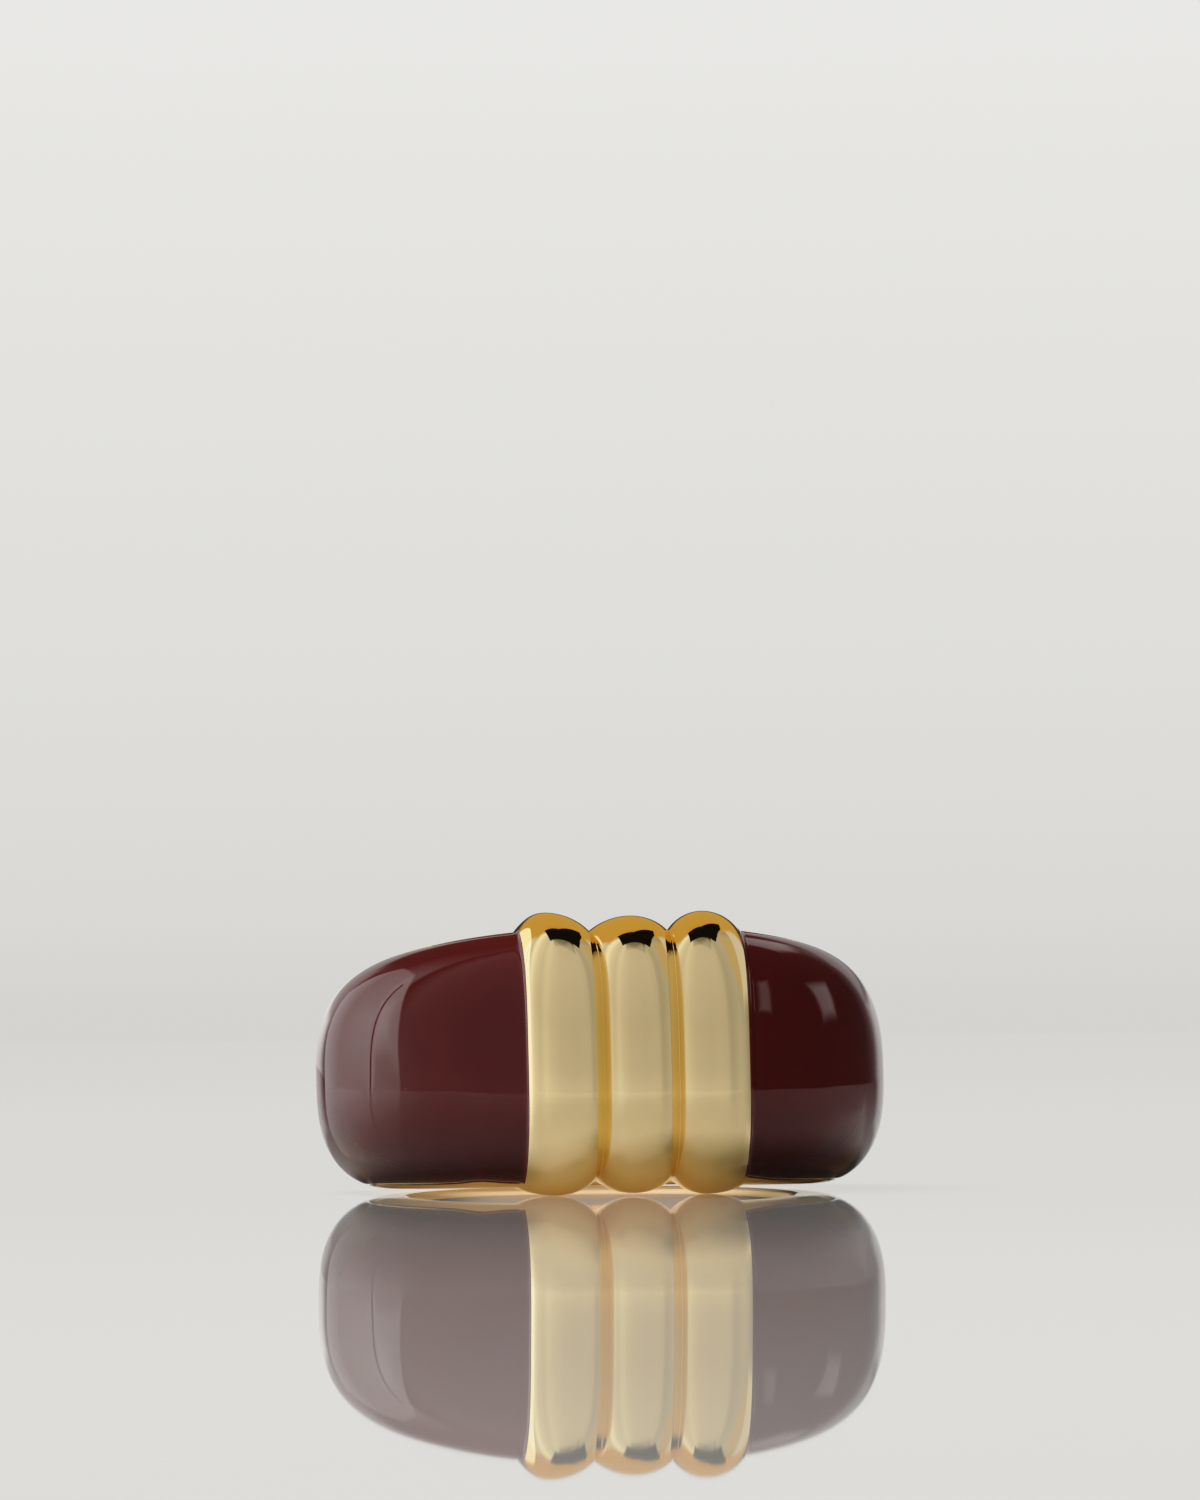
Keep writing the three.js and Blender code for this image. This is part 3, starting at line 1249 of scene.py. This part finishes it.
def stand_glow(
    material: bpy.types.Material,
    nodes: Nodes,
    glow: bpy.types.Node,
    mesh: bmesh.types.BMesh,
    middle: Vector,
    lit: Pieces,
) -> None:
    """Stands up a clear, glowing mesh that shows only in what a few pieces mirror.

    Args:
        material: The material, whose name the object takes.
        nodes: The material's nodes.
        glow: The node that gives the light.
        mesh: The mesh about the ring's own middle, which is freed.
        middle: The ring's own middle, at the height of the floor.
        lit: The pieces that mirror the light.
    """
    clear = nodes.add("BsdfTransparent")
    both = nodes.add("AddShader", in0=glow.outputs[0], in1=clear.outputs[0])
    nodes.add("OutputMaterial", Surface=both.outputs[0])
    material.cycles.emission_sampling = "NONE"
    walls = finish_mesh(mesh, material.name, material)
    walls.location = middle
    walls.visible_camera = False
    walls.visible_diffuse = False
    walls.visible_shadow = False
    receivers = bpy.data.collections.new(walls.name)
    for piece in lit:
        receivers.objects.link(piece)
    walls.light_linking.receiver_collection = receivers
    walls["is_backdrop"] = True


@dataclass(frozen=True)
class GapGlow:
    """A low strip of light inside the ring, seen only where the tabletop mirrors it."""

    color: Color = (0.31, 0.225, 0.155, 1.0)
    length: float = 16.0 * MM
    height: float = 1.4 * MM
    fade: Pair = (0.28, 0.5)
    lift: float = 0.51

    def build(self, floor: bpy.types.Object, middle: Vector) -> None:
        """Sets the strip up.

        Args:
            floor: The tabletop.
            middle: The ring's own middle, at the height of the floor.
        """
        material, nodes = new_material("gap_glow")
        place = nodes.add("SeparateXYZ", Vector=nodes.place())
        aside = nodes.math("ABSOLUTE", place.outputs[0])
        start, end = (share * self.length for share in self.fade)
        strength = nodes.range(aside, start, end, 1.0, 0.0)
        glow = nodes.add("Emission", Color=self.color, Strength=strength)
        mesh = bmesh.new()
        stand = Matrix.Translation((0, 0, self.lift * self.height))
        stand = stand @ Matrix.Rotation(math.pi / 2, 4, "X")
        stand = stand @ Matrix.Diagonal((self.length, self.height, 1, 1))
        bmesh.ops.create_grid(mesh, x_segments=1, y_segments=1, size=0.5, matrix=stand)
        stand_glow(material, nodes, glow, mesh, middle, [floor])


@dataclass(frozen=True)
class Tent:
    """Walls round the ring whose light falls on the pieces of one finish alone."""

    name: str
    sky: Sky
    reach: float

    def build(self, lit: Pieces, middle: Vector, turn: float) -> None:
        """Sets the walls up.

        Args:
            lit: The pieces that the walls light.
            middle: The ring's own middle, at the height of the floor.
            turn: How far the camera stands round to the left, in degrees.
        """
        material, nodes = new_material(self.name)
        outward = nodes.vector("NORMALIZE", nodes.place())
        seen = self.sky.paint(nodes, *self.sky.directions(nodes, outward, turn))
        glow = nodes.add("Emission", Color=seen, Strength=1.0)
        mesh = bmesh.new()
        bmesh.ops.create_cube(mesh, size=2 * self.reach)
        stand_glow(material, nodes, glow, mesh, middle, lit)


@dataclass(frozen=True)
class Studio:
    """The pale surroundings, the soft lamp and the camera."""

    camera_turn: float = 8.5
    camera_distance: float = 0.35
    camera_height: float = 8.554 * MM
    camera_pitch: float = 1.8953
    camera_roll: float = -0.5443
    camera_aside: float = 0.0269
    camera_reach: Pair = (0.01, 20.0)
    lens: float = 183.4
    sensor: float = 36.0
    backdrop_levels: Stops = (
        (-8.0, (0.670, 0.662, 0.632, 1)),
        (0.0, (0.680, 0.672, 0.642, 1)),
        (0.7, (0.728, 0.720, 0.688, 1)),
        (2.4, (0.780, 0.772, 0.739, 1)),
        (4.2, (0.820, 0.812, 0.777, 1)),
        (6.0, (0.865, 0.857, 0.821, 1)),
        (8.0, (0.925, 0.917, 0.882, 1)),
        (30.0, (0.940, 0.932, 0.897, 1)),
    )
    backdrop_top: Pair = (4.5, 8.0)
    backdrop_side: Pair = (-0.94, -0.86)
    gold_reach: float = 1.7
    enamel_reach: float = 1.6
    softbox_edge: Pairs = (
        (-100, 4), (-88, 3), (-76, -1.3), (-66.6, -6.5), (-60, -10.4), (-54.3, -14), (-49, -18.6)
    )
    lamp_size: float = 0.4
    lamp_power: float = 1.8
    lamp_place: tuple[float, float, float] = (-0.16, 0.10, 0.55)
    film_white: float = 2.0
    film_curve: Pairs = (
        (0.0, 0.0), (0.02, 0.0105), (0.05, 0.034), (0.10, 0.088), (0.18, 0.178), (0.40, 0.400),
        (0.60, 0.595), (0.80, 0.745), (1.00, 0.850), (1.40, 0.940), (2.00, 1.0),
    )

    def place_camera(self, middle: Vector) -> None:
        """Makes the camera, low in front of the ring and a little to its left.

        Args:
            middle: The ring's own middle, at the height of the floor.
        """
        turn = math.radians(self.camera_turn)
        back = Vector((-math.sin(turn), -math.cos(turn), 0)) * self.camera_distance
        data = bpy.data.cameras.new("camera")
        data.lens = self.lens
        data.sensor_width = self.sensor
        data.clip_start, data.clip_end = self.camera_reach
        camera = bpy.data.objects.new("camera", data)
        heading = Matrix.Rotation(math.radians(-self.camera_turn - self.camera_aside), 4, "Z")
        pitch = Matrix.Rotation(math.radians(90 + self.camera_pitch), 4, "X")
        roll = Matrix.Rotation(math.radians(self.camera_roll), 4, "Z")
        stand = Matrix.Translation(middle + back + Vector((0, 0, self.camera_height)))
        camera.matrix_world = stand @ heading @ pitch @ roll
        bpy.context.scene.collection.objects.link(camera)
        bpy.context.scene.camera = camera

    def softbox(self, color: Color, *others: Pair) -> Card:
        """The large softbox to the ring's left: its near edge and its other corners."""
        return Card((*self.softbox_edge, *others), color, 1.4)

    def seam(self, color: Color) -> Card:
        """The thin dark seam across the softbox."""
        return Card(((-56, -16.7), (-87, -23.5), (-87, -25.1), (-56, -18.1)), color, 0.5)

    def opening(self, color: Color) -> tuple[Card, Card]:
        """The dark opening overhead, between the front of the room and the back."""
        front = Card(((-23, -7), (-21, 12), (31, 5), (31, -9), (0, -12)), color, 1)
        return front, Card(((0, -10), (30, -5), (31, -24), (26, -33)), color, 1)

    def room(self) -> Sky:
        """Lays out what every piece and the floor see.

        Returns:
            A lit front with a softbox, dim sides and a dark opening.
        """
        levels = (
            (-180, 0.06), (-100, 0.06), (-94, 0.30), (-88, 0.52), (-78, 0.45), (-50, 0.39),
            (-17, 0.41), (20, 0.40), (45, 0.38), (60, 0.33), (66, 0.10), (72, 0.055),
            (180, 0.055),
        )
        climb = (
            (-8, 1.12), (2, 1.12), (7, 1.0), (14, 0.945), (24, 0.99), (34, 1.04), (50, 1.08),
            (70, 1.05), (76, 0.5), (90, 0.5),
        )
        pale = (0.88, 0.87, 0.85, 1)
        cards = (
            self.softbox(pale, (-40, -36), (-38, -64), (-60, -92), (-105, -60)),
            self.seam((0.02, 0.02, 0.02, 1)),
            *self.opening((0.012, 0.010, 0.008, 1)),
        )
        return Sky(levels, climb, cards)

    def gold_sky(self) -> Sky:
        """Lays out what the gold sees besides the room.

        Returns:
            A warm card behind the ring and fill at both sides.
        """
        levels = (
            (-180, 0), (-160, 0), (-135, 0.10), (-122, 0.40), (-106, 0.70), (-98, 0.50),
            (-92, 0.58), (-85, 0.36), (-78, 0.24), (-64, 0.17), (-50, 0.29), (-36, 0.20),
            (-17, 0.13), (20, 0.115), (45, 0.14), (60, 0.17), (66, 0.33), (75, 0.35),
            (94, 0.40), (112, 0.33), (124, 0.24), (140, 0.14), (160, 0), (180, 0),
        )
        climb = ((0, 1.12), (7, 1.0), (14, 0.945), (50, 1.05), (90, 1.05))
        behind = ((-40, -4), (-62, -34), (-46, -62), (0, -74), (46, -62), (40, -30), (24, -2))
        aside = ((34, -4), (42, -28), (72, -28), (76, -20), (60, 0))
        corner = ((36, -29), (42, -64), (60, -62), (75, -30), (60, -27))
        cards = (
            Card(((-15, 20), (-15, -15), (15, -15), (24, 20)), UNLIT, 4),
            Card(behind, (0.50, 0.30, 0.06, 1), 8),
            Card(aside, (0.46, 0.37, 0.22, 1), 8),
            Card(corner, (0.58, 0.575, 0.57, 1), 6),
            *self.opening(UNLIT),
        )
        return Sky(levels, climb, cards)

    def enamel_sky(self) -> Sky:
        """Lays out what the enamel sees besides the room.

        Returns:
            A brighter softbox to the left and small windows to the right.
        """
        levels = (
            (-180, 0), (-164, 0.55), (-154, 0.85), (-148, 0.15), (-131, 0.02), (-123, 0.35),
            (-114, 0.75), (-108, 1.05), (-104, 1.10), (-100, 0), (139, 0), (146, 0.12),
            (151, 0.28), (158, 0.10), (164, 0), (180, 0),
        )
        climb = (
            (-8, 0.6), (1, 0.6), (3, 0.85), (5, 1.0), (13, 1.2), (20, 0.95), (28, 0.85),
            (34, 0.80), (40, 0.70), (50, 0.32), (60, 0.15), (90, 0.1),
        )
        core = ((-81, -8), (-67, -11), (-67, -21), (-81, -20))
        band = ((-100, 4), (-88, 3), (-86, 2.4), (-84, -19), (-100, -28))
        back = ((-42, -72), (0, -84), (42, -72), (35, -58), (-35, -58))
        shade = ((-6, -64), (-29, -59), (-36, -44), (-31, -27), (-8, -24))
        window = ((63, -19.5), (58.5, -35), (71.5, -34), (76, -22))
        far_window = ((59, 6), (58, 12), (69, 24), (72, 17))
        skylight = ((27, -27), (36, -32), (33, -44), (24, -52), (14, -40))
        cards = (
            self.softbox((1.08, 1.06, 1.03, 1), (-56, -22), (-100, -28)),
            Card(core, (1.7, 1.67, 1.62, 1), 8),
            Card(band, (0.45, 0.44, 0.43, 1), 3),
            self.seam(UNLIT),
            Card(back, (0.48, 0.475, 0.465, 1), 7),
            Card(shade, UNLIT, 7),
            Card(window, (0.95, 0.94, 0.92, 1), 5),
            Card(far_window, (0.90, 0.89, 0.87, 1), 3),
            Card(skylight, (1.0, 0.98, 0.94, 1), 6),
        )
        return Sky(levels, climb, cards, tint=(1.0, 0.985, 0.965))

    def light_surroundings(self) -> None:
        """Paints the room, with a pale backdrop low down behind the ring."""
        world = bpy.data.worlds.new("studio")
        world.use_nodes = True
        bpy.context.scene.world = world
        nodes = Nodes(world.node_tree)
        direction = nodes.add("TexCoord").outputs["Generated"]
        room = self.room()
        azimuth, elevation, spot = room.directions(nodes, direction, self.camera_turn)
        backdrop = nodes.ramp(elevation, self.backdrop_levels)
        above = nodes.range(elevation, *self.backdrop_top, 0.0, 1.0)
        ahead = nodes.math("COSINE", nodes.math("RADIANS", azimuth))
        beside = nodes.range(ahead, *self.backdrop_side, 0.0, 1.0)
        walls = nodes.math("MAXIMUM", above, beside)
        seen = nodes.mix(walls, backdrop, room.paint(nodes, azimuth, elevation, spot))
        direct = nodes.add("LightPath").outputs["Is Camera Ray"]
        shown = nodes.mix(direct, seen, backdrop)
        background = nodes.add("Background", Color=shown, Strength=1.0)
        nodes.add("OutputWorld", Surface=background.outputs[0])

    def hang_lamp(self, middle: Vector) -> None:
        """Hangs the large soft lamp that lights the floor from the left.

        Args:
            middle: The ring's own middle, at the height of the floor.
        """
        data = bpy.data.lights.new("soft_lamp", "AREA")
        data.shape = "DISK"
        data.size = self.lamp_size
        data.energy = self.lamp_power
        lamp = bpy.data.objects.new("soft_lamp", data)
        turn = Matrix.Rotation(math.radians(-self.camera_turn), 4, "Z")
        place = turn @ Vector(self.lamp_place)
        aim = place.to_track_quat("Z", "Y").to_matrix().to_4x4()
        lamp.matrix_world = Matrix.Translation(middle + place) @ aim
        lamp.visible_glossy = False
        lamp.visible_camera = False
        bpy.context.scene.collection.objects.link(lamp)

    def build(
        self, middle: Vector, floor: bpy.types.Object, golden: Pieces, glazed: Pieces
    ) -> None:
        """Sets up the surroundings, the lamp and the camera.

        Args:
            middle: The ring's own middle, at the height of the floor.
            floor: The tabletop, which mirrors all the surroundings.
            golden: The pieces in gold.
            glazed: The pieces in enamel.
        """
        self.light_surroundings()
        gold_tent = Tent("gold_tent", self.gold_sky(), self.gold_reach)
        gold_tent.build([*golden, floor], middle, self.camera_turn)
        enamel_tent = Tent("enamel_tent", self.enamel_sky(), self.enamel_reach)
        enamel_tent.build(glazed, middle, self.camera_turn)
        GapGlow().build(floor, middle)
        self.hang_lamp(middle)
        self.place_camera(middle)
        self.grade()

    def grade(self) -> None:
        """Gives the picture a film's soft toe and soft highlights."""
        settings = bpy.context.scene.view_settings
        settings.view_transform = "Standard"
        settings.look = "None"
        settings.use_curve_mapping = True
        mapping = settings.curve_mapping
        mapping.white_level = (self.film_white,) * 3
        curve = mapping.curves[3]
        for light, shown in self.film_curve[1:-1]:
            curve.points.new(light / self.film_white, shown)
        curve.points[0].location = self.film_curve[0]
        curve.points[-1].location = (1.0, self.film_curve[-1][1])
        mapping.update()


def main() -> None:
    """Loads the frame and builds the ring, its finishes and the studio."""
    logging.basicConfig(level=logging.INFO, format="%(name)s: %(message)s")
    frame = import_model()
    mount = frame["record"]["mounts"][0]
    shape = RingShape()
    placement = Placement(shape, Vector(mount["axis"]))
    casting = GoldCasting(shape)
    panels = [EnamelPanel(shape, side) for side in Side]
    casting.build()
    for panel in panels:
        panel.build()
    placement.fit([casting.mesh, *(panel.mesh for panel in panels)])
    gold = PolishedGold().build()
    enamel = BurgundyEnamel().build()
    pieces = [casting.dress(gold), *(panel.dress(enamel) for panel in panels)]
    for piece in pieces:
        triangles = sum(len(face.vertices) - 2 for face in piece.data.polygons)
        log.info("%s: %d triangles", piece.name, triangles)
    centre = placement.matrix @ Vector((0, 0, 0))
    middle = Vector((centre.x, centre.y, 0))
    floor = PaleFloor().build(middle)
    Studio().build(middle, floor, pieces[:1], pieces[1:])
    log.info("studio set up round %s", tuple(round(value, 6) for value in centre))


if __name__ == "__main__":
    main()
